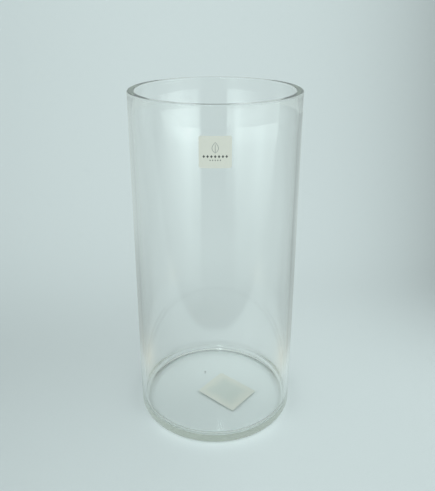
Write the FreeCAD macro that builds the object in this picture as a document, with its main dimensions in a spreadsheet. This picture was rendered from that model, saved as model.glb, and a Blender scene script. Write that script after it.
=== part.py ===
"""Glass cylinder vase, 120 mm across and 250 mm tall, with its two paper labels.

Row frame: the vase stands on the XY plane, Z runs up its axis, and the front
label faces -Y.  Lengths are in millimetres.
"""
import FreeCAD, Part
import os
import Sketcher
from FreeCAD import Rotation, Vector

# Alias, value and meaning of each driving dimension.
DIMENSIONS = [
    ("outer_radius", 60, "outside of the wall"),
    ("height", 250, "table to the top of the lip"),
    ("wall_thickness", 3, "straight wall below the lip"),
    ("lip_thickness", 5.0, "fire-polished lip, thickened on its inside"),
    ("lip_blend", 26, "height over which the lip thins to the wall"),
    ("lip_round", 1.0, "polished edges of the lip"),
    ("floor_height", 3.5, "table to the edge of the inside floor"),
    ("floor_crown", 1.2, "rise of the floor at its centre"),
    ("floor_fillet", 7.5, "inside corner between floor and wall"),
    ("heel_radius", 3, "outside corner between wall and foot"),
    ("foot_width", 6, "flat ring that stands on the table"),
    ("push_up", 1.5, "depth of the hollow under the base"),
    ("front_label_side", 20, "square label on the wall"),
    ("front_label_drop", 18.4, "lip down to the top edge of the label"),
    ("front_label_corner", 1.2, "rounded corner of the label"),
    ("base_label_length", 36, "label under the base"),
    ("base_label_width", 30, "label under the base"),
    ("base_label_corner", 0.8, "rounded corner of the label"),
    ("base_label_x", 9.5, "its centre, right of the axis"),
    ("base_label_y", -3.6, "its centre, towards the front"),
    ("base_label_turn", -40, "degrees that its length turns from the X axis"),
    ("paper_thickness", 0.12, "uncoated label paper"),
    ("adhesive_thickness", 0.05, "adhesive film between paper and glass"),
]

# What several features share, as expressions on the sheet.
BORE = "(dimensions.outer_radius - dimensions.wall_thickness)"
FOOT_OUTER = "(dimensions.outer_radius - dimensions.heel_radius)"
FOOT_INNER = "(" + FOOT_OUTER + " - dimensions.foot_width)"
HOLLOW_RADIUS = "((" + FOOT_INNER + "^2 + dimensions.push_up^2) / (2 * dimensions.push_up))"
LABEL_THICKNESS = "(dimensions.adhesive_thickness + dimensions.paper_thickness)"

# Sketcher's numbers for the ends of a piece and for the sketch's own axes.
START, END, CENTRE = 1, 2, 3
X_AXIS, Y_AXIS = -1, -2
ORIGIN = (X_AXIS, START)

doc = FreeCAD.newDocument("glass_cylinder_vase")


def make_dimensions():
    """The spreadsheet that drives every size; returns its values by alias."""
    sheet = doc.addObject("Spreadsheet::Sheet", "dimensions")
    for row, (alias, value, meaning) in enumerate(DIMENSIONS, start=1):
        sheet.set("A%d" % row, alias)
        sheet.set("B%d" % row, str(value))
        sheet.set("C%d" % row, meaning)
        sheet.setAlias("B%d" % row, alias)
    doc.recompute()
    return {alias: value for alias, value, _ in DIMENSIONS}


def bind(item, **expressions):
    """Drive an object's properties by expressions on the sheet."""
    for name, expression in expressions.items():
        item.setExpression(name, expression)


def start_sketch(body, name, role):
    """A sketch on one of the body's own origin planes."""
    plane = next(item for item in body.Origin.OriginFeatures if item.Role == role)
    sketch = body.newObject("Sketcher::SketchObject", name)
    sketch.AttachmentSupport = (plane, [""])
    sketch.MapMode = "FlatFace"
    return sketch


def constrain(sketch, *constraint):
    return sketch.addConstraint(Sketcher.Constraint(*constraint))


def hold(sketch, name, expression, *constraint):
    """Add a dimension to a sketch and drive it from the sheet."""
    index = constrain(sketch, *constraint)
    sketch.renameConstraint(index, name)
    sketch.setExpression("Constraints." + name, expression)


def line(start, end):
    return Part.LineSegment(Vector(*start, 0), Vector(*end, 0))


def arc(centre, start, end):
    """Arc about a centre, counterclockwise from one point to another."""
    radius = Vector(*centre, 0).distanceToPoint(Vector(*start, 0))
    circle = Part.Circle(Vector(*centre, 0), Vector(0, 0, 1), radius)
    return Part.ArcOfCircle(circle, circle.parameter(Vector(*start, 0)), circle.parameter(Vector(*end, 0)))


def arc_radius(reach, rise):
    """Radius of an arc that leaves a line smoothly and is rise away from it after reach."""
    return (reach ** 2 + rise ** 2) / (2 * rise)


# ------------------------------------------------------------------ the glass
# Half section in the XZ plane: sketch X is the radius, sketch Y the height.
# The loop runs under the base, over the foot and the heel, up the outside,
# over the lip and down the inside to the middle of the floor.

def section_geometry(size):
    """Starting shapes of the half section, which the constraints then hold."""
    outer = size["outer_radius"]
    bore = outer - size["wall_thickness"]
    lip_inner = outer - size["lip_thickness"]
    top = size["height"]
    edge = size["lip_round"]
    blend_foot = top - size["lip_blend"]
    blend_radius = arc_radius(size["lip_blend"] - edge, bore - lip_inner)
    heel = size["heel_radius"]
    foot_outer = outer - heel
    foot_inner = foot_outer - size["foot_width"]
    push_up = size["push_up"]
    hollow_radius = arc_radius(foot_inner, push_up)
    floor = size["floor_height"]
    corner = size["floor_fillet"]
    floor_edge = bore - corner
    crown = floor + size["floor_crown"]
    floor_radius = arc_radius(floor_edge, size["floor_crown"])
    return {
        "hollow": arc((0, push_up - hollow_radius), (foot_inner, 0), (0, push_up)),
        "foot": line((foot_inner, 0), (foot_outer, 0)),
        "heel": arc((foot_outer, heel), (foot_outer, 0), (outer, heel)),
        "outside": line((outer, heel), (outer, top - edge)),
        "outer_edge": arc((outer - edge, top - edge), (outer, top - edge), (outer - edge, top)),
        "lip": line((outer - edge, top), (lip_inner + edge, top)),
        "inner_edge": arc((lip_inner + edge, top - edge), (lip_inner + edge, top), (lip_inner, top - edge)),
        "lip_blend": arc((bore - blend_radius, blend_foot), (bore, blend_foot), (lip_inner, top - edge)),
        "inside": line((bore, blend_foot), (bore, floor + corner)),
        "corner": arc((floor_edge, floor + corner), (floor_edge, floor), (bore, floor + corner)),
        "floor": arc((0, crown - floor_radius), (floor_edge, floor), (0, crown)),
        "axis": line((0, crown), (0, push_up)),
    }


def constrain_section(sketch, piece):
    """Close the loop, keep its joins smooth and hold its sizes."""
    sharp_joins = [
        ("hollow", START, "foot", START),
        ("axis", END, "hollow", END),
        ("floor", END, "axis", START),
    ]
    smooth_joins = [
        ("foot", END, "heel", START),
        ("heel", END, "outside", START),
        ("outside", END, "outer_edge", START),
        ("outer_edge", END, "lip", START),
        ("lip", END, "inner_edge", START),
        ("inner_edge", END, "lip_blend", END),
        ("lip_blend", START, "inside", START),
        ("inside", END, "corner", END),
        ("corner", START, "floor", START),
    ]
    for kind, joins in (("Coincident", sharp_joins), ("Tangent", smooth_joins)):
        for one, one_end, other, other_end in joins:
            constrain(sketch, kind, piece[one], one_end, piece[other], other_end)
    for name, end, axis in (
        ("foot", START, X_AXIS),
        ("foot", END, X_AXIS),
        ("hollow", CENTRE, Y_AXIS),
        ("hollow", END, Y_AXIS),
        ("floor", CENTRE, Y_AXIS),
        ("floor", END, Y_AXIS),
    ):
        constrain(sketch, "PointOnObject", piece[name], end, axis)
    constrain(sketch, "Vertical", piece["outside"])
    constrain(sketch, "Vertical", piece["inside"])
    constrain(sketch, "Horizontal", piece["lip"])

    for dimension, name, end, expression in (
        ("outer_radius", "outside", START, "dimensions.outer_radius"),
        ("bore_radius", "inside", START, BORE),
        ("lip_inner_radius", "lip_blend", END, "dimensions.outer_radius - dimensions.lip_thickness"),
        ("foot_inner_radius", "foot", START, FOOT_INNER),
    ):
        hold(sketch, dimension, expression, "DistanceX", *ORIGIN, piece[name], end, 1.0)
    for dimension, name, end, expression in (
        ("height", "lip", START, "dimensions.height"),
        ("blend_foot", "inside", START, "dimensions.height - dimensions.lip_blend"),
        ("push_up", "hollow", END, "dimensions.push_up"),
        ("floor_edge", "corner", START, "dimensions.floor_height"),
        ("floor_centre", "floor", END, "dimensions.floor_height + dimensions.floor_crown"),
    ):
        hold(sketch, dimension, expression, "DistanceY", *ORIGIN, piece[name], end, 1.0)
    for dimension, name, expression in (
        ("heel_radius", "heel", "dimensions.heel_radius"),
        ("outer_edge_radius", "outer_edge", "dimensions.lip_round"),
        ("inner_edge_radius", "inner_edge", "dimensions.lip_round"),
        ("corner_radius", "corner", "dimensions.floor_fillet"),
    ):
        hold(sketch, dimension, expression, "Radius", piece[name], 1.0)


def make_glass_body(size):
    """The vessel: one blown piece, turned from its half section."""
    body = doc.addObject("PartDesign::Body", "glass_body")
    sketch = start_sketch(body, "half_section", "XZ_Plane")
    piece = {name: sketch.addGeometry(shape, False) for name, shape in section_geometry(size).items()}
    constrain_section(sketch, piece)
    vessel = body.newObject("PartDesign::Revolution", "vessel")
    vessel.Profile = sketch
    vessel.ReferenceAxis = (sketch, ["V_Axis"])
    vessel.Angle = 360
    return body


# ----------------------------------------------------------------- the labels
# Each label is two layers on the glass, a thin adhesive film and the paper.
# A layer is the part of a die-cut blank that lies in a thin curved shell.

def make_blank(name, role, length, width, corner_radius, depth):
    """Rounded rectangle about the middle of an origin plane, padded away from it."""
    body = doc.addObject("PartDesign::Body", name)
    sketch = start_sketch(body, name + "_outline", role)
    reach, rise, edge = 10.0, 8.0, 1.0
    directions = [(0, -edge), (edge, 0), (0, edge), (-edge, 0)]
    corners = []
    for turn, (across, up) in enumerate([(1, -1), (1, 1), (-1, 1), (-1, -1)]):
        centre = (across * (reach - edge), up * (rise - edge))
        ends = [(centre[0] + x, centre[1] + y) for x, y in (directions[turn], directions[(turn + 1) % 4])]
        corners.append(sketch.addGeometry(arc(centre, *ends), False))
    sides = []
    for turn, corner in enumerate(corners):
        following = corners[(turn + 1) % 4]
        start = sketch.Geometry[corner].EndPoint
        end = sketch.Geometry[following].StartPoint
        side = sketch.addGeometry(Part.LineSegment(start, end), False)
        constrain(sketch, "Tangent", corner, END, side, START)
        constrain(sketch, "Tangent", side, END, following, START)
        constrain(sketch, "Horizontal" if turn % 2 else "Vertical", side)
        sides.append(side)
    right, top, left, bottom = sides
    for corner in corners[1:]:
        constrain(sketch, "Equal", corners[0], corner)
    constrain(sketch, "Symmetric", corners[0], CENTRE, corners[2], CENTRE, *ORIGIN)
    hold(sketch, "corner_radius", corner_radius, "Radius", corners[0], edge)
    hold(sketch, "length", length, "DistanceX", left, START, right, START, 2 * reach)
    hold(sketch, "width", width, "DistanceY", bottom, START, top, START, 2 * rise)
    pad = body.newObject("PartDesign::Pad", name + "_pad")
    pad.Profile = sketch
    bind(pad, Length=depth)
    return body


def make_layer(name, blank, outer, inner):
    """The part of the blank between two round surfaces, as a node."""
    shell = doc.addObject("Part::Cut", name + "_shell")
    shell.Base = outer
    shell.Tool = inner
    layer = doc.addObject("Part::Common", name)
    layer.Base = blank
    layer.Tool = shell
    return layer


def make_front_label():
    """Square label wrapped on the outside of the wall, near the lip."""
    blank = make_blank(
        "front_label_blank",
        "XZ_Plane",
        "dimensions.front_label_side",
        "dimensions.front_label_side",
        "dimensions.front_label_corner",
        "dimensions.outer_radius + 2 * " + LABEL_THICKNESS,
    )
    middle = "dimensions.height - dimensions.front_label_drop - dimensions.front_label_side / 2"
    blank.setExpression("Placement.Base.z", middle)
    rounds = []
    for name, thickness in (
        ("glass_face", "0"),
        ("front_film_face", "dimensions.adhesive_thickness"),
        ("front_paper_face", LABEL_THICKNESS),
    ):
        cylinder = doc.addObject("Part::Cylinder", name)
        bind(cylinder, Radius="dimensions.outer_radius + " + thickness, Height="dimensions.height")
        rounds.append(cylinder)
    glass_face, film_face, paper_face = rounds
    return [
        make_layer("front_label_adhesive", blank, film_face, glass_face),
        make_layer("front_label", blank, paper_face, film_face),
    ]


def make_base_label():
    """Rectangular label stuck up into the hollow under the base."""
    blank = make_blank(
        "base_label_blank",
        "XY_Plane",
        "dimensions.base_label_length",
        "dimensions.base_label_width",
        "dimensions.base_label_corner",
        "2 * dimensions.push_up",
    )
    blank.Placement.Rotation = Rotation(Vector(0, 0, 1), 1)
    blank.setExpression("Placement.Base.x", "dimensions.base_label_x")
    blank.setExpression("Placement.Base.y", "dimensions.base_label_y")
    blank.setExpression("Placement.Rotation.Angle", "dimensions.base_label_turn")
    rounds = []
    for name, thickness in (
        ("hollow_face", "0"),
        ("base_film_face", "dimensions.adhesive_thickness"),
        ("base_paper_face", LABEL_THICKNESS),
    ):
        sphere = doc.addObject("Part::Sphere", name)
        sphere.Placement.Rotation = Rotation(Vector(1, 0, 0), 90)
        sphere.setExpression("Placement.Base.z", "dimensions.push_up - " + HOLLOW_RADIUS)
        bind(sphere, Radius=HOLLOW_RADIUS + " - " + thickness)
        rounds.append(sphere)
    hollow_face, film_face, paper_face = rounds
    return [
        make_layer("base_label_adhesive", blank, hollow_face, film_face),
        make_layer("base_label", blank, film_face, paper_face),
    ]


# ------------------------------------------------------------- check and write

def check(nodes):
    """Stop before writing if a feature failed or a node has no sound solid."""
    for item in doc.Objects:
        if "Invalid" in item.State or "Error" in item.State:
            raise RuntimeError("%s did not compute: %s" % (item.Name, item.State))
    for node in nodes:
        shape = node.Shape
        if shape.isNull() or not shape.isValid() or len(shape.Solids) != 1:
            raise RuntimeError("%s is not one valid solid" % node.Label)


def write(nodes):
    os.makedirs("parts", exist_ok=True)
    for node in nodes:
        node.Shape.exportStep("parts/%s.step" % node.Label)
        print("%-22s %10.2f mm3" % (node.Label, node.Shape.Volume))


sizes = make_dimensions()
nodes = [make_glass_body(sizes)] + make_front_label() + make_base_label()
doc.recompute()
check(nodes)
write(nodes)
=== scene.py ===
import math
import random

import bpy
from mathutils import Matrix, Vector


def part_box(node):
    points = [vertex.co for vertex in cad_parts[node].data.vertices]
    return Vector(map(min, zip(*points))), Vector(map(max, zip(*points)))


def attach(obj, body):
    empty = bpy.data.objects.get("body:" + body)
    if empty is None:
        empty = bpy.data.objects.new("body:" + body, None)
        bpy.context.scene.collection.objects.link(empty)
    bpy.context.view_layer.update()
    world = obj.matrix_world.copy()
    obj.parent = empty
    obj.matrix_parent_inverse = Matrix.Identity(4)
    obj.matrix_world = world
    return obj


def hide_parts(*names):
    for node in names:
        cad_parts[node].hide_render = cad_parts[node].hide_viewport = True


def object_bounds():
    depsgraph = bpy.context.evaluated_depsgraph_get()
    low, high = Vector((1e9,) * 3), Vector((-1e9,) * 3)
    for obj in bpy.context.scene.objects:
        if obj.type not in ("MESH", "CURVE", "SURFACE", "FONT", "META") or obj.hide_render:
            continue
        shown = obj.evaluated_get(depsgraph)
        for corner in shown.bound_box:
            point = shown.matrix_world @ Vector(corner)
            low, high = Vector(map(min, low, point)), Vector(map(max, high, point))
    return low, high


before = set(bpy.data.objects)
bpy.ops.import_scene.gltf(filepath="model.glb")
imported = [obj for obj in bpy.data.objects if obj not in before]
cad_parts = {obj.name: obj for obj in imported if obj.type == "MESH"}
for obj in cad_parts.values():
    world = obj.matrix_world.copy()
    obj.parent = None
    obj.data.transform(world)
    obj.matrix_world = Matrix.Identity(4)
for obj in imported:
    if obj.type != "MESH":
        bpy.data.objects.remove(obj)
cad_low, cad_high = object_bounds()

# ---------------------------------------------------------------- the camera
# A close view of the whole vase from its label side, a little above the rim.
# The lens points at the upper half, and the frame is shifted down to the foot.

RADIUS = (cad_high.x - cad_low.x) / 2
HEIGHT = cad_high.z
CAMERA_AWAY = 6.408 * RADIUS
CAMERA_ABOVE_RIM = 1.018 * RADIUS
CAMERA_DIP = math.radians(20.29)
SENSOR_WIDTH = 36
LENS_LENGTH = 41.07
SHIFT_ASIDE = 0.0046
SHIFT_UP = -0.0927
NEAREST_SEEN = 0.01

scene = bpy.context.scene
camera = bpy.data.objects.new("camera", bpy.data.cameras.new("camera"))
scene.collection.objects.link(camera)
scene.camera = camera
camera.location = (0, -CAMERA_AWAY, HEIGHT + CAMERA_ABOVE_RIM)
camera.rotation_euler = (math.pi / 2 - CAMERA_DIP, 0, 0)
camera.data.sensor_width = SENSOR_WIDTH
camera.data.lens = LENS_LENGTH
camera.data.shift_x = SHIFT_ASIDE
camera.data.shift_y = SHIFT_UP
camera.data.clip_start = NEAREST_SEEN

# ------------------------------------------------------- the floor and studio
# A wide sheet of pale blue-grey paper under an even, shadowless light, with the light's falloff, a caustic
# and shadows painted on the sheet itself.  Only what the glass mirrors is different: the sheet glows with a
# painted reflection, seen only by mirrored rays, of a table's front edge and dim sides, a warm glow beside
# the vase and two tall windows behind the viewer, and the sky shows a lamp.

FLOOR_HALF_WIDTH = 30.0
FLOOR_DROP = 0.0003
GLASS_BOUNCES = 48
LIGHT_COLOUR = (0.93, 1.0, 1.0)
LIGHT_LEVEL = 0.85
HORIZON_LEVEL = 0.68
OFTEN_LEVEL = 0.60
PAPER_TINT = (0.914, 1.0, 1.0)
MIRRORED_TINT = (0.86, 1.0, 0.985)
# The colour of the painted warm glow beside the vase, seen only in reflections.
WARM_COLOUR = (0.84, 0.84, 0.70)
FIBRE_SCALE = 900.0
FIBRE_SHADE = 0.04

# The sheet's painted light and shade, in metres: a painted falloff to each side, a painted darker band
# behind the vase, a painted caustic ring before the foot, a painted shaded ring behind it and a painted
# shadow under its front.  A pair is where a change starts and ends.
# A triple is the height, the centre and the half width of a hump.
SHEET_LEVEL = 0.70
FAN_APEX = CAMERA_AWAY + 0.115
FAN_NEAREST = 0.1
FAN_LEFT = -0.45
FAN_RIGHT = 0.37
FAN_MIDDLE = (-0.12, 0.12)
LEFT_FALL = 0.42
RIGHT_FALL = 4.5
RIGHT_FALL_FROM = (-0.02, 0.22)
LEFT_BAND = (0.16, 0.055, 0.13)
RIGHT_BAND = (0.045, 0.16, 0.07)
RIGHT_BAND_LEAST = 0.012
# Round the foot: a painted caustic ring before it, a painted shaded ring behind it and a painted shadow
# under its front.
CAUSTIC_RING = (0.16, RADIUS + 0.001, 0.006)
CAUSTIC_FRONT = (0.02, 0.055)
SHADED_RING = (0.05, RADIUS + 0.004, 0.006)
SHADED_BACK = (0.0, 0.045)
FOOT_SHADOW_DIM = 0.06
FOOT_SHADOW_EDGE = (0.045, 0.062)
FOOT_SHADOW_FRONT = (-0.035, 0.04)

# What the glass mirrors, painted on the sheet as a glow that only mirrored rays see, by distance in metres
# and by bearing in radians.  A window's bearings start from straight in front, a dim side's from behind.
MIRROR_FROM = (0.07, 0.12)
TABLE_EDGE = (0.200, 0.216)
TABLE_EDGE_DEEP = (0.05, 0.60)
TABLE_EDGE_BOW = 0.1
FRONT_GLOW = 0.3
FRONT_FROM = (0.08, 0.15)
SIDE_RISE = (0.2, 0.45)
SIDE_FALL = (1.4, 1.6)
SIDE_FROM = (0.08, 0.13)
SIDE_DIM = 0.26
SIDE_FADE = 0.22
SIDE_FADE_FROM = (0.20, 0.45)
BESIDE_ASIDE = (0.5, 0.22, 0.06)
BESIDE_ALONG = (1.0, 0.015, 0.03)
WARM_ASIDE = (1.0, 0.12, 0.03)
WARM_ALONG = (1.0, 0.0, 0.02)
ROOM_LEAST = 0.05
ROOM_LEVEL = 0.34
ROOM_FROM = (0.21, 0.36)
WINDOW_LEVEL = 1.22
WINDOW_FOOT = (0.215, 0.32)
WINDOW_HEIGHT = (0.0, 1.1)
WINDOW_TOP = (0.95, 1.5)
WINDOW_TOP_GLOW = 0.3
LEFT_WINDOW = {"rise": (-1.5, -0.5), "fall": (-0.34, -0.28), "glow": (0.9, -0.58, 0.14)}
RIGHT_WINDOW = {"rise": (0.34, 0.52), "fall": (1.45, 1.60), "glow": (0.8, 1.0, 0.2)}

# The mirrored ceiling, by the upward part of a direction, and its lamp.
OVERHEAD_LEVEL = 0.62
OVERHEAD_GLOW = 0.47
OVERHEAD_GLOW_FROM = (0.25, 0.50)
OVERHEAD_DIM = 0.42
OVERHEAD_DIM_FROM = (0.56, 0.72)
LAMP_DIRECTION = (-0.10, -0.60, 0.79)
LAMP_EDGE = (0.992, 0.997)
LAMP_LEVEL = 20.0

scene.view_settings.view_transform = "Standard"
scene.cycles.max_bounces = GLASS_BOUNCES
scene.cycles.transmission_bounces = GLASS_BOUNCES
scene.cycles.glossy_bounces = GLASS_BOUNCES
scene.cycles.blur_glossy = 0.0


class Wire:
    """An output socket of a node tree.  Arithmetic on wires adds Math nodes."""

    def __init__(self, tree, socket=None):
        self.tree = tree
        self.socket = socket

    def node(self, kind, settings=None, values=None, output=0):
        """Add a node: its settings first, then a value or a wire for each input."""
        made = self.tree.nodes.new(kind)
        for name, value in (settings or {}).items():
            setattr(made, name, value)
        for key, value in (values or {}).items():
            if isinstance(value, Wire):
                self.tree.links.new(value.socket, made.inputs[key])
            else:
                made.inputs[key].default_value = value
        return Wire(self.tree, made.outputs[output] if made.outputs else None)

    def output(self, name):
        """Another output of the node that this wire comes from."""
        return Wire(self.tree, self.socket.node.outputs[name])

    def parts(self):
        """The X, Y and Z of a vector, as three wires."""
        split = self.node("ShaderNodeSeparateXYZ", values={0: self})
        return split, split.output("Y"), split.output("Z")

    def math(self, operation, *values):
        return self.node("ShaderNodeMath", {"operation": operation}, dict(enumerate((self, *values))))

    def vector(self, operation, *values):
        return self.node("ShaderNodeVectorMath", {"operation": operation}, dict(enumerate((self, *values))))

    def within(self, low, high):
        """This number, held between two limits."""
        return self.math("MAXIMUM", low).math("MINIMUM", high)

    def step(self, low, high):
        """A smooth rise from 0 at low to 1 at high."""
        return self.node("ShaderNodeMapRange", {"interpolation_type": "SMOOTHSTEP"},
                         {"Value": self, "From Min": low, "From Max": high})

    def blend(self, first, second):
        """Colour first where this wire is 0, colour second where it is 1."""
        return self.node("ShaderNodeMix", {"data_type": "RGBA"}, {0: self, 6: first, 7: second}, output=2)

    def tinted(self, colour):
        """This number as the strength of a colour."""
        grey = self.node("ShaderNodeCombineXYZ", values={0: self, 1: self, 2: self})
        return grey.vector("MULTIPLY", colour)

    def __add__(self, other):
        return self.math("ADD", other)

    __radd__ = __add__

    def __sub__(self, other):
        return self.math("SUBTRACT", other)

    def __rsub__(self, other):
        return -self + other

    def __mul__(self, other):
        return self.math("MULTIPLY", other)

    __rmul__ = __mul__

    def __truediv__(self, other):
        return self.math("DIVIDE", other)

    def __rtruediv__(self, other):
        return self ** -1.0 * other

    def __pow__(self, other):
        return self.math("POWER", other)

    def __neg__(self):
        return self * -1

    def __abs__(self):
        return self.math("ABSOLUTE")


def new_object(name, mesh):
    """An object at the origin that shows a mesh."""
    made = bpy.data.objects.new(name, mesh)
    scene.collection.objects.link(made)
    return made


def new_material(name):
    """A material with an empty node tree, and a wire to start the tree from."""
    made = bpy.data.materials.new(name)
    made.use_nodes = True
    made.node_tree.nodes.clear()
    return made, Wire(made.node_tree)


def light_paths(tree):
    """What a ray has met, each 1 or 0: mirrored, mirrored often, through both walls, never mirrored."""
    glossy = tree.node("ShaderNodeLightPath", output="Glossy Depth")
    unscattered = 1 - glossy.output("Diffuse Depth").math("MINIMUM", 1.0)
    mirrored = glossy.math("MINIMUM", 1.0) * unscattered
    often = (glossy - 2).within(0.0, 1.0) * unscattered
    deep = (glossy.output("Transmission Depth") - 3).within(0.0, 1.0) * unscattered
    return mirrored, often, deep, unscattered - mirrored


def hump(value, height, centre, half_width):
    """The height at the centre, a half of it at one half width away, and slowly down to 0."""
    return height / (((value - centre) / half_width) ** 2 + 1)


def between(value, rise, fall):
    """1 between two soft edges and 0 outside them."""
    return value.step(*rise) * (1 - value.step(*fall))


def make_floor():
    """A flat square sheet, just under the foot."""
    half = FLOOR_HALF_WIDTH
    corners = [(-half, -half), (half, -half), (half, half), (-half, half)]
    mesh = bpy.data.meshes.new("floor")
    mesh.from_pydata([(x, y, -FLOOR_DROP) for x, y in corners], [], [(0, 1, 2, 3)])
    return new_object("floor", mesh)


def floor_level(x, y):
    """The sheet's painted light and shade: painted falloff to each side, a painted darker band behind the
    vase, a painted caustic ring before the foot, and painted shadow behind and under it.
    """
    aside = x / (y + FAN_APEX).math("MAXIMUM", FAN_NEAREST)
    right = aside.within(0.0, FAN_RIGHT)
    left = aside.within(FAN_LEFT, 0.0)
    # Painted falloff of the light to each side, deeper towards the back on the right.
    level = SHEET_LEVEL - RIGHT_FALL * right ** 3 * y.step(*RIGHT_FALL_FROM) - LEFT_FALL * left * left
    side = aside.step(*FAN_MIDDLE)
    # A painted darker band across the sheet behind the vase, further back on the right.
    band = hump(y, *LEFT_BAND) * (1 - side) + (hump(y, *RIGHT_BAND) + RIGHT_BAND_LEAST) * side
    away = (x * x + y * y) ** 0.5
    # A painted caustic: a bright ring of light just before the foot.
    painted_caustic = hump(away, *CAUSTIC_RING) * (-y).step(*CAUSTIC_FRONT)
    # Painted shade: a darker ring just behind the foot.
    shaded = hump(away, *SHADED_RING) * (1 - (-y).step(*SHADED_BACK))
    # A painted shadow under the front of the foot.
    under = (1 - away.step(*FOOT_SHADOW_EDGE)) * (-y).step(*FOOT_SHADOW_FRONT)
    return level * (1 - band + painted_caustic - shaded - FOOT_SHADOW_DIM * under)


def window(bearing, rise, fall, glow):
    """One bright window between two bearings, with its brightest part along another."""
    return between(bearing, rise, fall) * (WINDOW_LEVEL + hump(bearing, *glow))


def mirrored_level(x, y, level, often, deep):
    """The painted reflection on the sheet: the table as the glass mirrors it, out past its edge to the
    windows behind the viewer.
    """
    away = (x * x + y * y) ** 0.5
    bearing = x.math("ARCTAN2", -y)
    bearing_from_behind = abs(x).math("ARCTAN2", y)
    dim_side = between(bearing_from_behind, SIDE_RISE, SIDE_FALL) * away.step(*SIDE_FROM)
    dim_side = dim_side * (SIDE_DIM - SIDE_FADE * away.step(*SIDE_FADE_FROM))
    dim_beside = hump(abs(x), *BESIDE_ASIDE) * hump(y, *BESIDE_ALONG)
    bright_front = FRONT_GLOW * (-y).step(*FRONT_FROM)
    table = level * (1 + bright_front) * (1 - dim_side) * (1 - dim_beside)
    windows = window(bearing, **LEFT_WINDOW) + window(bearing, **RIGHT_WINDOW)
    windows = windows * away.step(*WINDOW_HEIGHT) * away.step(*WINDOW_FOOT)
    windows = windows * (1 + WINDOW_TOP_GLOW * away.step(*WINDOW_TOP))
    room = ROOM_LEVEL * away.step(*ROOM_FROM) + ROOM_LEAST + windows
    reach = TABLE_EDGE_BOW * abs(x) - y
    past_edge = reach.step(*TABLE_EDGE) * (1 - deep) + reach.step(*TABLE_EDGE_DEEP) * deep
    mirrored = table * (1 - past_edge) + room * past_edge
    return mirrored * (1 - often) + OFTEN_LEVEL * often


floor = make_floor()
floor_paper, tree = new_material("floor_paper")
spot = tree.node("ShaderNodeTexCoord", output="Object")
x, y, _ = spot.parts()
# The sheet's painted light and shade.
level = floor_level(x, y)
# For mirrored rays, away from the vase, the sheet goes black and glows instead with a painted reflection of
# the room round it and a painted warm glow beside the vase.
mirror, often, deep, _ = light_paths(tree)
nearest, whole = MIRROR_FROM
mirror = mirror * (x * x + y * y).step(nearest ** 2, whole ** 2)
painted_reflection = (mirrored_level(x, y, level, often, deep) * mirror).tinted(MIRRORED_TINT)
# A painted warm glow beside the vase, seen only in reflections.
painted_warm_glow = hump(abs(x), *WARM_ASIDE) * hump(y, *WARM_ALONG) * mirror
fibre = tree.node("ShaderNodeTexNoise", values={"Vector": spot, "Scale": FIBRE_SCALE, "Detail": 3.0})
shade = 1 + FIBRE_SHADE * (fibre - 0.5)
surface = tree.node("ShaderNodeBsdfPrincipled", values={
    "Base Color": (level * (1 - mirror) * (1 / LIGHT_LEVEL) * shade).tinted(PAPER_TINT),
    "Roughness": 0.9,
    "Specular IOR Level": 0.1,
    "Emission Color": painted_warm_glow.blend(painted_reflection, (*WARM_COLOUR, 1.0)),
    "Emission Strength": 1.0,
})
surface.node("ShaderNodeOutputMaterial", values={"Surface": surface})
floor.data.materials.append(floor_paper)

world = bpy.data.worlds.new("studio")
scene.world = world
world.use_nodes = True
world.node_tree.nodes.clear()
world.cycles.sampling_method = "NONE"
tree = Wire(world.node_tree)
direction = tree.node("ShaderNodeTexCoord", output="Generated")
_, _, upward = direction.parts()
mirror, often, _, direct = light_paths(tree)
overhead = OVERHEAD_LEVEL + OVERHEAD_GLOW * upward.step(*OVERHEAD_GLOW_FROM)
overhead = overhead - OVERHEAD_DIM * upward.step(*OVERHEAD_DIM_FROM)
lamp = tree.node("ShaderNodeVectorMath", {"operation": "DOT_PRODUCT"},
                 {0: direction, 1: LAMP_DIRECTION}, output="Value")
overhead = (overhead + LAMP_LEVEL * lamp.step(*LAMP_EDGE)) * (1 - often) + OFTEN_LEVEL * often
horizon = [HORIZON_LEVEL / LIGHT_LEVEL * part for part in MIRRORED_TINT]
sky = direct.blend((*LIGHT_COLOUR, 1.0), (*horizon, 1.0))
sky = mirror.blend(sky, (overhead / LIGHT_LEVEL).tinted(MIRRORED_TINT))
light = tree.node("ShaderNodeBackground", values={"Color": sky, "Strength": LIGHT_LEVEL})
light.node("ShaderNodeOutputWorld", values={"Surface": light})

# ------------------------------------------------------------- the vase body
# One piece of blown soda-lime glass: a straight cylinder with a thin wall, a
# thicker fire-polished lip, a crowned floor, and a foot ring round a hollow.

WALL = 0.003
LIP = 0.0050
LIP_BLEND = 0.026
LIP_ROUND = 0.0010
FLOOR_THICKNESS = 0.0035
FLOOR_CROWN = 0.0012
FLOOR_FILLET = 0.0075
HEEL = 0.003
FOOT = 0.006
PUSH_UP = 0.0015

# The skin's rows and turns.  The lip's blend starts just short of its round.
TURNS = 256
WALL_ROW = 0.005
EDGE_ROW = 0.0004
DOME_ROWS = 24
HEEL_ROWS = 16
LIP_ROWS = 12
BLEND_ROWS = 24
BLEND_START = 0.985
FILLET_ROWS = 20
SAME_POINT = 1e-7

# The unevenness of the inside, which no mould touched.  It is greatest in the
# corner between the floor and the wall, where the glass was thick and slow.
RIPPLE = 0.00004
RIPPLE_SPREAD = 0.02
RIPPLE_STRETCH = (1.0, 1.0, 0.35)
CORNER_FLOW = 1.2
CORNER_TOP = 0.03

# The fine relief: peel under the foot, and faint upright lines below the lip.
RELIEF_DEPTH = 0.00003
PEEL_SCALE = 420.0
PEEL_TOP = (0.003, 0.006)
DRAWN_SCALE = 160.0
DRAWN_STRETCH = (1.0, 1.0, 0.06)
DRAWN_SHARE = 0.12
DRAWN_TOP = (HEIGHT - 0.006, HEIGHT - 0.003)

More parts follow.
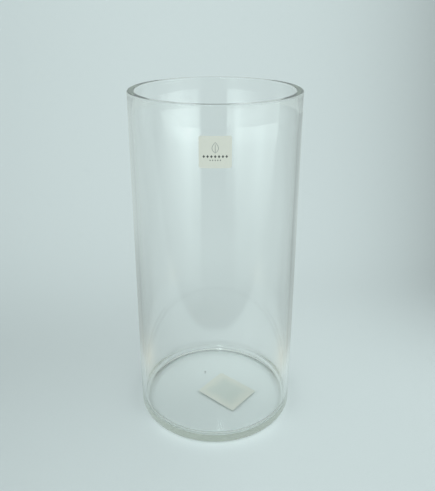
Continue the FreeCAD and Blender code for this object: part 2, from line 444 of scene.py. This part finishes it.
GLASS_COLOUR = (0.995, 0.998, 0.996)
GLASS_IOR = 1.52
TINT_COLOUR = (0.722, 0.757, 0.676)
TINT_DENSITY = 9.0
GRIT_COLOUR = (0.25, 0.26, 0.25)
GRIT_PLACE = (-0.0087, 0.0192)
GRIT_RADIUS = 0.0007
GRIT_EDGE = (0.6, 1.2)
GRIT_TOP = (0.010, 0.011)


def spread(first, last, count):
    """Evenly spaced numbers, both ends among them."""
    return [first + (last - first) * k / (count - 1) for k in range(count)]


def arc(centre, radius, first, last, count):
    """Points on a round, between two angles in degrees."""
    angles = [math.radians(a) for a in spread(first, last, count)]
    return [(centre[0] + radius * math.cos(a), centre[1] + radius * math.sin(a)) for a in angles]


def dome(reach, rise, base, count):
    """Points on a shallow dome, from its crown on the axis to its rim."""
    radius = (reach ** 2 + rise ** 2) / (2 * rise)
    return [(r, base + rise - radius + math.sqrt(radius ** 2 - r ** 2)) for r in spread(0, reach, count)]


def upright(reach, low, high):
    """Rows up a straight wall, close together at its ends so that it shades flat."""
    count = max(2, int((high - low) / WALL_ROW))
    rows = [low + EDGE_ROW, low + 3 * EDGE_ROW]
    rows += spread(low + 8 * EDGE_ROW, high - 8 * EDGE_ROW, count)
    rows += [high - 3 * EDGE_ROW, high - EDGE_ROW]
    return [(reach, z) for z in rows]


def vase_section():
    """The half section, from the hollow's crown, out and up, and back down inside."""
    bore = RADIUS - WALL
    foot_outer = RADIUS - HEEL
    foot_inner = foot_outer - FOOT
    points = dome(foot_inner, PUSH_UP, 0, DOME_ROWS)
    points += [(foot_inner + EDGE_ROW, 0), (foot_inner + FOOT / 2, 0), (foot_outer - EDGE_ROW, 0)]
    points += arc((foot_outer, HEEL), HEEL, -90, 0, HEEL_ROWS)
    points += upright(RADIUS, HEEL, HEIGHT - LIP_ROUND)
    points += arc((RADIUS - LIP_ROUND, HEIGHT - LIP_ROUND), LIP_ROUND, 0, 90, LIP_ROWS)
    blend_foot = HEIGHT - LIP_BLEND
    rise = HEIGHT - LIP_ROUND - blend_foot
    step = LIP - WALL
    sweep = (rise ** 2 + step ** 2) / (2 * step)
    lean = math.degrees(math.asin(rise / sweep))
    inner = (RADIUS - LIP + LIP_ROUND * math.cos(math.radians(lean)), HEIGHT - LIP_ROUND)
    points += [(RADIUS - LIP_ROUND - EDGE_ROW, HEIGHT), (inner[0] + EDGE_ROW, HEIGHT)]
    points += arc(inner, LIP_ROUND, 90, 180, LIP_ROWS)
    points += arc((bore - sweep, blend_foot), sweep, lean * BLEND_START, 0, BLEND_ROWS)
    points += reversed(upright(bore, FLOOR_THICKNESS + FLOOR_FILLET, blend_foot))
    edge = bore - FLOOR_FILLET
    points += arc((edge, FLOOR_THICKNESS + FLOOR_FILLET), FLOOR_FILLET, 0, -90, FILLET_ROWS)
    points += reversed(dome(edge - EDGE_ROW, FLOOR_CROWN, FLOOR_THICKNESS, DOME_ROWS))
    return points


def section_mesh(points):
    """The section as a line of edges, marked with how freely the glass flowed at each point."""
    mesh = bpy.data.meshes.new("section")
    mesh.from_pydata([(r, z, 0) for r, z in points], [(k, k + 1) for k in range(len(points) - 1)], [])
    flowed = mesh.attributes.new("flowed", "FLOAT", "POINT")
    for k, (r, z) in enumerate(points):
        inside = r < RADIUS - WALL / 2 and FLOOR_THICKNESS <= z < HEIGHT - LIP_BLEND / 2
        flow = 1.0 if z > CORNER_TOP else CORNER_FLOW
        flowed.data[k].value = flow if inside else 0.0
    return mesh


def capture(geometry, kind, value):
    """Keep a value with the points, for use after the skin is made.  The value is output 1."""
    made = geometry.tree.nodes.new("GeometryNodeCaptureAttribute")
    made.capture_items.new(kind, "kept")
    geometry.tree.links.new(geometry.socket, made.inputs[0])
    geometry.tree.links.new(value.socket, made.inputs[1])
    return Wire(geometry.tree, made.outputs[0])


def revolve_tree():
    """Turn a section drawn in X and Y about the vertical axis, and ripple what flowed freely."""
    group = bpy.data.node_groups.new("turned_glass", "GeometryNodeTree")
    for name, kind in (("Section", "Geometry"), ("Turns", "Int"), ("Ripple", "Float"),
                       ("Ripple Spread", "Float"), ("Glass", "Material")):
        group.interface.new_socket(name=name, in_out="INPUT", socket_type="NodeSocket" + kind)
    group.interface.new_socket(name="Body", in_out="OUTPUT", socket_type="NodeSocketGeometry")
    tree = Wire(group)
    section = tree.node("NodeGroupInput", output="Section")
    turns = section.output("Turns")
    path = tree.node("GeometryNodeMeshLine", values={"Count": turns + 1, "Offset": (1.0, 0.0, 0.0)})
    path = path.node("GeometryNodeMeshToCurve", values={"Mesh": path})
    outline = section.node("GeometryNodeMeshToCurve", values={"Mesh": section})
    place = tree.node("GeometryNodeInputPosition")
    angle = tree.node("GeometryNodeInputIndex") * math.tau / turns
    path = capture(path, "FLOAT", angle)
    outline = capture(outline, "VECTOR", place)
    skin = path.node("GeometryNodeCurveToMesh", values={"Curve": path, "Profile Curve": outline})
    angle = path.output(1)
    reach, height, _ = outline.output(1).parts()
    turned = tree.node("ShaderNodeCombineXYZ", values={
        "X": reach * angle.math("COSINE"), "Y": reach * angle.math("SINE"), "Z": height})
    skin = skin.node("GeometryNodeSetPosition", values={"Geometry": skin, "Position": turned})
    skin = skin.node("GeometryNodeMergeByDistance", values={"Geometry": skin, "Distance": SAME_POINT})
    skin = skin.node("GeometryNodeFlipFaces", values={"Mesh": skin})
    flowed = tree.node("GeometryNodeInputNamedAttribute", {"data_type": "FLOAT"}, {"Name": "flowed"})
    noise = tree.node("ShaderNodeTexNoise", {"noise_dimensions": "3D"}, {
        "Vector": place.vector("MULTIPLY", RIPPLE_STRETCH),
        "Scale": 1 / section.output("Ripple Spread"), "Detail": 1.0})
    swell = (noise - 0.5) * section.output("Ripple") * flowed
    normal = tree.node("GeometryNodeInputNormal")
    outward = tree.node("ShaderNodeVectorMath", {"operation": "SCALE"}, {0: normal, "Scale": swell})
    skin = skin.node("GeometryNodeSetPosition", values={"Geometry": skin, "Offset": outward})
    skin = skin.node("GeometryNodeSetShadeSmooth", values={"Geometry": skin})
    skin = skin.node("GeometryNodeRealizeInstances", values={"Geometry": skin})
    skin = skin.node("GeometryNodeSetMaterial", values={
        "Geometry": skin, "Material": section.output("Glass")})
    skin.node("NodeGroupOutput", values={"Body": skin})
    return group


def apply_tree(name, group, mesh, inputs):
    """Run a geometry tree on a mesh and return its result as an object with a plain mesh."""
    source = new_object(name, mesh)
    modifier = source.modifiers.new("tree", "NODES")
    modifier.node_group = group
    for item in group.interface.items_tree:
        if item.name in inputs:
            modifier[item.identifier] = inputs[item.name]
    graph = bpy.context.evaluated_depsgraph_get()
    made = bpy.data.meshes.new_from_object(source.evaluated_get(graph), depsgraph=graph)
    source.modifiers.remove(modifier)
    source.data = made
    made.name = name
    return source


glass, tree = new_material("vase_glass")
spot = tree.node("ShaderNodeTexCoord", output="Object")
x, y, z = spot.parts()
peel = tree.node("ShaderNodeTexNoise", values={"Vector": spot, "Scale": PEEL_SCALE, "Detail": 2.0})
drawn = tree.node("ShaderNodeTexNoise", values={
    "Vector": spot.vector("MULTIPLY", DRAWN_STRETCH), "Scale": DRAWN_SCALE, "Detail": 1.0})
relief = peel * (1 - z.step(*PEEL_TOP)) + DRAWN_SHARE * drawn * (1 - z.step(*DRAWN_TOP))
bump = tree.node("ShaderNodeBump", values={"Height": relief, "Strength": 1.0, "Distance": RELIEF_DEPTH})
from_grit = ((x - GRIT_PLACE[0]) ** 2 + (y - GRIT_PLACE[1]) ** 2) ** 0.5 / GRIT_RADIUS
speck = (1 - from_grit.step(*GRIT_EDGE)) * (1 - z.step(*GRIT_TOP))
surface = tree.node("ShaderNodeBsdfPrincipled", values={
    "Base Color": speck.blend((*GLASS_COLOUR, 1.0), (*GRIT_COLOUR, 1.0)),
    "Roughness": 0.0,
    "IOR": GLASS_IOR,
    "Transmission Weight": 1.0,
    "Normal": bump,
})
tint = tree.node("ShaderNodeVolumeAbsorption", values={
    "Color": (*TINT_COLOUR, 1.0), "Density": TINT_DENSITY})
tree.node("ShaderNodeOutputMaterial", values={"Surface": surface, "Volume": tint})

body = apply_tree("vase_body", revolve_tree(), section_mesh(vase_section()), {
    "Turns": TURNS, "Ripple": RIPPLE, "Ripple Spread": RIPPLE_SPREAD, "Glass": glass})
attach(body, "root")
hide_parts("glass_body")

# --------------------------------------------- the front label's adhesive film
# A square film of clear pressure-sensitive adhesive, rolled on to the wall.  It
# holds the paper to the glass, and shows milky through the back of the vase.

FRONT_SIZE = (0.020, 0.020)
FRONT_CORNER = 0.0012
FRONT_MIDDLE = (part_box("front_label")[0].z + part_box("front_label")[1].z) / 2
FILM_GAP = 0.00001
FILM_THICKNESS = 0.00004
MILLIMETRES = 1000.0

OUTLINE_STEP = 0.0008
CORNER_POINTS = 7
SHEET_RINGS = 18
CUT_ROUGHNESS = 0.00002
CUT_SEED = 7
SHARP_FOLD = math.radians(40)

FILM_CLOUD_SCALE = 260.0
FILM_CLOUD_SHARE = 0.5
FILM_SPECKLE_SCALE = 2600.0
FILM_SPECKLE_SHARE = 0.3
FILM_SPECKLE_DEPTH = 0.00002
FILM_WETTED = 0.85
FILM_WETTED_EDGE = (0.4, 0.95)
FRONT_FILM_DULL = (0.80, 0.82, 0.74)
FRONT_FILM_CLEAR = (0.72, 0.75, 0.69)


def rounded_outline(width, length, corner):
    """A rectangle with round corners, as closely spaced points, anticlockwise."""
    points = []
    across, along = width / 2 - corner, length / 2 - corner
    sides = ((across, along, 0, width), (-across, along, 90, length),
             (-across, -along, 180, width), (across, -along, 270, length))
    for u, v, start, side in sides:
        turn = arc((u, v), corner, start, start + 90, CORNER_POINTS)
        straight = side - 2 * corner
        steps = int(straight / OUTLINE_STEP)
        heading = math.radians(start + 180)
        points += turn
        points += [(turn[-1][0] + math.cos(heading) * straight * k / steps,
                    turn[-1][1] + math.sin(heading) * straight * k / steps) for k in range(1, steps)]
    return points


def sheet_mesh(name, size, corner, low, high, place):
    """A thin closed sheet between two heights, laid on a surface by place(u, v, height)."""
    dice = random.Random(CUT_SEED)
    outline = []
    for u, v in rounded_outline(*size, corner):
        grow = 1 + dice.uniform(-CUT_ROUGHNESS, CUT_ROUGHNESS) / size[0]
        outline.append((u * grow, v * grow))
    count = len(outline)
    flat = []
    for height in (low, high):
        for k in range(SHEET_RINGS, 0, -1):
            flat += [(u * k / SHEET_RINGS, v * k / SHEET_RINGS, height) for u, v in outline]
        flat.append((0, 0, height))
    layer = SHEET_RINGS * count + 1
    last = (SHEET_RINGS - 1) * count
    faces = []
    for k in range(count):
        after = (k + 1) % count
        faces.append((k, after, layer + after, layer + k))
        for ring in range(0, last, count):
            below = (ring + k, ring + count + k, ring + count + after, ring + after)
            faces.append(below)
            faces.append([layer + index for index in reversed(below)])
        faces.append((last + k, layer - 1, last + after))
        faces.append((layer + last + after, 2 * layer - 1, layer + last + k))
    mesh = bpy.data.meshes.new(name)
    mesh.from_pydata([place(*point) for point in flat], [], faces)
    face_map = mesh.uv_layers.new(name="sheet")
    for loop in mesh.loops:
        u, v, _ = flat[loop.vertex_index]
        face_map.data[loop.index].uv = (u / size[0] + 0.5, v / size[1] + 0.5)
    mesh.shade_smooth()
    mesh.set_sharp_from_angle(angle=SHARP_FOLD)
    return mesh


def on_the_wall(u, v, height):
    """Round the wall on the label side, upright, with height out from the glass."""
    angle = u / RADIUS
    reach = RADIUS + height
    return reach * math.sin(angle), -reach * math.cos(angle), FRONT_MIDDLE + v


def sheet_place(tree, size):
    """Millimetres right and up from the middle of a sheet."""
    u, v, _ = tree.node("ShaderNodeUVMap", {"uv_map": "sheet"}).parts()
    return (u - 0.5) * (size[0] * MILLIMETRES), (v - 0.5) * (size[1] * MILLIMETRES)


def film_material(name, size, dull, clear):
    """Adhesive: milky where it has air under it, clearer in the middle where it has wetted the glass."""
    made, tree = new_material(name)
    u, v = sheet_place(tree, size)
    half_u, half_v = [side * MILLIMETRES / 2 for side in size]
    spot = tree.node("ShaderNodeTexCoord", output="Object")
    cloud = tree.node("ShaderNodeTexNoise", values={
        "Vector": spot, "Scale": FILM_CLOUD_SCALE, "Detail": 4.0, "Roughness": 0.6})
    speckle = tree.node("ShaderNodeTexNoise", values={
        "Vector": spot, "Scale": FILM_SPECKLE_SCALE, "Detail": 2.0})
    edge = ((u / half_u) ** 2).math("MAXIMUM", (v / half_v) ** 2) ** 0.5
    edge = edge + (cloud - 0.5) * FILM_CLOUD_SHARE
    wetted = (1 - edge.step(*FILM_WETTED_EDGE)) * (FILM_WETTED + FILM_SPECKLE_SHARE * (speckle - 0.5))
    bump = tree.node("ShaderNodeBump", values={
        "Height": speckle, "Strength": 0.4, "Distance": FILM_SPECKLE_DEPTH})
    surface = tree.node("ShaderNodeBsdfPrincipled", values={
        "Base Color": wetted.blend((*dull, 1.0), (*clear, 1.0)),
        "Roughness": 0.55 - 0.25 * wetted,
        "Normal": bump,
    })
    surface.node("ShaderNodeOutputMaterial", values={"Surface": surface})
    return made


front_film = new_object("front_film", sheet_mesh(
    "front_film", FRONT_SIZE, FRONT_CORNER, FILM_GAP, FILM_GAP + FILM_THICKNESS, on_the_wall))
front_film.data.materials.append(film_material("front_film", FRONT_SIZE, FRONT_FILM_DULL, FRONT_FILM_CLEAR))
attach(front_film, "root")
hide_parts("front_label_adhesive")

# ------------------------------------------------------------ the front label
# A small square of uncoated cream paper, die cut with round corners.  It is
# printed with a grey leaf over two rows of dark marks that say nothing.

PAPER_GAP = 0.000005
PAPER_THICKNESS = 0.00011
PAPER_LOW = FILM_GAP + FILM_THICKNESS + PAPER_GAP
PAPER_HIGH = PAPER_LOW + PAPER_THICKNESS
CREAM = (0.89, 0.89, 0.795)
PAPER_FIBRE_SCALE = 5200.0
PAPER_FIBRE_STRETCH = (1.0, 1.0, 0.45)
PAPER_FIBRE_DEPTH = 0.00001
PAPER_CLOUD_SCALE = 420.0
PAPER_LEVEL = 0.97
PAPER_SHADE = 0.05

# The print, in millimetres from the middle of the label.
DARK_INK = (0.06, 0.07, 0.065)
GREY_INK = (0.36, 0.38, 0.36)
LEAF_MIDDLE = 2.8
LEAF_HALF_HEIGHT = 3.3
LEAF_HALF_WIDTH = 1.9
LEAF_TAPER = 0.25
LEAF_TIP = (0.98, 1.02)
LEAF_LINE = 0.17
RIB_MIDDLE = 2.1
RIB_HALF_HEIGHT = 2.6
LARGE_ROW = {"height": -2.7, "pitch": 2.3, "count": 7, "half_width": 0.75, "half_height": 0.95}
SMALL_ROW = {"height": -5.0, "pitch": 1.55, "count": 5, "half_width": 0.42, "half_height": 0.55}
SMALL_ROW_INK = 0.75
ROW_END = 0.05


def soft_disc(distance, blur=0.12):
    """1 where a distance is under 1, fading to 0 just past it."""
    return 1 - distance.step(1 - blur, 1 + blur)


def leaf(u, v):
    """The outline of one pointed leaf with its midrib, about 4 mm wide and 7 mm high."""
    up = (v - LEAF_MIDDLE) / LEAF_HALF_HEIGHT
    belly = (1 - up ** 2) * (1 - LEAF_TAPER * up) * LEAF_HALF_WIDTH
    outline = soft_disc(abs(abs(u) - belly) / LEAF_LINE, 0.4) * (1 - abs(up).step(*LEAF_TIP))
    rib = soft_disc((abs(u) / LEAF_LINE).math("MAXIMUM", abs((v - RIB_MIDDLE) / RIB_HALF_HEIGHT)), 0.3)
    return outline.math("MAXIMUM", rib)


def lozenges(u, v, height, pitch, count, half_width, half_height):
    """A level row of small solid lozenges, centred on the label."""
    nearest = abs(u.math("WRAP", pitch / 2, -pitch / 2))
    shape = soft_disc(nearest / half_width + abs(v - height) / half_height)
    return shape * (1 - abs(u).step(pitch * count / 2 - ROW_END, pitch * count / 2))


def paper_surface(tree, colour):
    """Uncoated paper: long faint fibres and a cloudy formation, under a colour or a print."""
    spot = tree.node("ShaderNodeTexCoord", output="Object")
    fibre = tree.node("ShaderNodeTexNoise", values={
        "Vector": spot.vector("MULTIPLY", PAPER_FIBRE_STRETCH), "Scale": PAPER_FIBRE_SCALE,
        "Detail": 3.0, "Roughness": 0.7})
    cloud = tree.node("ShaderNodeTexNoise", values={
        "Vector": spot, "Scale": PAPER_CLOUD_SCALE, "Detail": 2.0})
    shade = PAPER_LEVEL + PAPER_SHADE * (fibre - 0.5) + PAPER_SHADE * cloud
    bump = tree.node("ShaderNodeBump", values={
        "Height": fibre, "Strength": 0.5, "Distance": PAPER_FIBRE_DEPTH})
    tone = tree.node("ShaderNodeVectorMath", {"operation": "SCALE"}, {0: colour, "Scale": shade})
    surface = tree.node("ShaderNodeBsdfPrincipled", values={
        "Base Color": tone,
        "Roughness": 0.62 + 0.2 * fibre,
        "Sheen Weight": 0.05,
        "Specular IOR Level": 0.35,
        "Normal": bump,
    })
    surface.node("ShaderNodeOutputMaterial", values={"Surface": surface})


printed_paper, tree = new_material("front_label_paper")
u, v = sheet_place(tree, FRONT_SIZE)
rows = lozenges(u, v, **LARGE_ROW).math("MAXIMUM", lozenges(u, v, **SMALL_ROW) * SMALL_ROW_INK)
inked = leaf(u, v).blend((*CREAM, 1.0), (*GREY_INK, 1.0))
paper_surface(tree, rows.blend(inked, (*DARK_INK, 1.0)))

front_paper = new_object("front_paper", sheet_mesh(
    "front_paper", FRONT_SIZE, FRONT_CORNER, PAPER_LOW, PAPER_HIGH, on_the_wall))
front_paper.data.materials.append(printed_paper)
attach(front_paper, "root")
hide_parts("front_label")

# ---------------------------------------------- the base label's adhesive film
# A rectangle of the same adhesive under the floor, in the hollow of the foot.
# It has wetted the glass in the middle, and one long edge has begun to lift.

BASE_LENGTH = 0.036
BASE_WIDTH = 0.030
BASE_SIZE = (BASE_LENGTH, BASE_WIDTH)
BASE_CORNER = 0.0008
BASE_X = 0.0095
BASE_Y = -0.0036
BASE_TURN = math.radians(-40)
LIFT_FROM = 0.004
LIFT_MOST = 0.0002
BASE_FILM_DULL = (0.665, 0.69, 0.62)
BASE_FILM_CLEAR = (0.52, 0.585, 0.545)


def under_the_floor(u, v, height):
    """Under the hollow, turned and off centre, with height down from the glass."""
    x = BASE_X + u * math.cos(BASE_TURN) - v * math.sin(BASE_TURN)
    y = BASE_Y + u * math.sin(BASE_TURN) + v * math.cos(BASE_TURN)
    lifted = max(0.0, (-v - LIFT_FROM) / (BASE_WIDTH / 2 - LIFT_FROM)) ** 2 * LIFT_MOST
    reach = RADIUS - HEEL - FOOT
    radius = (reach ** 2 + PUSH_UP ** 2) / (2 * PUSH_UP)
    ceiling = PUSH_UP - radius + math.sqrt(radius ** 2 - x ** 2 - y ** 2)
    return x, y, ceiling - height - lifted


def turned_over(mesh):
    """The mesh with its faces turned round, because a sheet laid face down comes out inside out."""
    mesh.flip_normals()
    return mesh


base_film = new_object("base_film", turned_over(sheet_mesh(
    "base_film", BASE_SIZE, BASE_CORNER, FILM_GAP, FILM_GAP + FILM_THICKNESS, under_the_floor)))
base_film.data.materials.append(film_material("base_film", BASE_SIZE, BASE_FILM_DULL, BASE_FILM_CLEAR))
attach(base_film, "root")
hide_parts("base_label_adhesive")

# ------------------------------------------------------------- the base label
# The larger label under the foot: plain uncoated cream paper with nothing
# printed on it.  Its film holds it up in the hollow, clear of the table.

plain_paper, tree = new_material("base_label_paper")
paper_surface(tree, CREAM)

base_paper = new_object("base_paper", turned_over(sheet_mesh(
    "base_paper", BASE_SIZE, BASE_CORNER, PAPER_LOW, PAPER_HIGH, under_the_floor)))
base_paper.data.materials.append(plain_paper)
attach(base_paper, "root")
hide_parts("base_label")
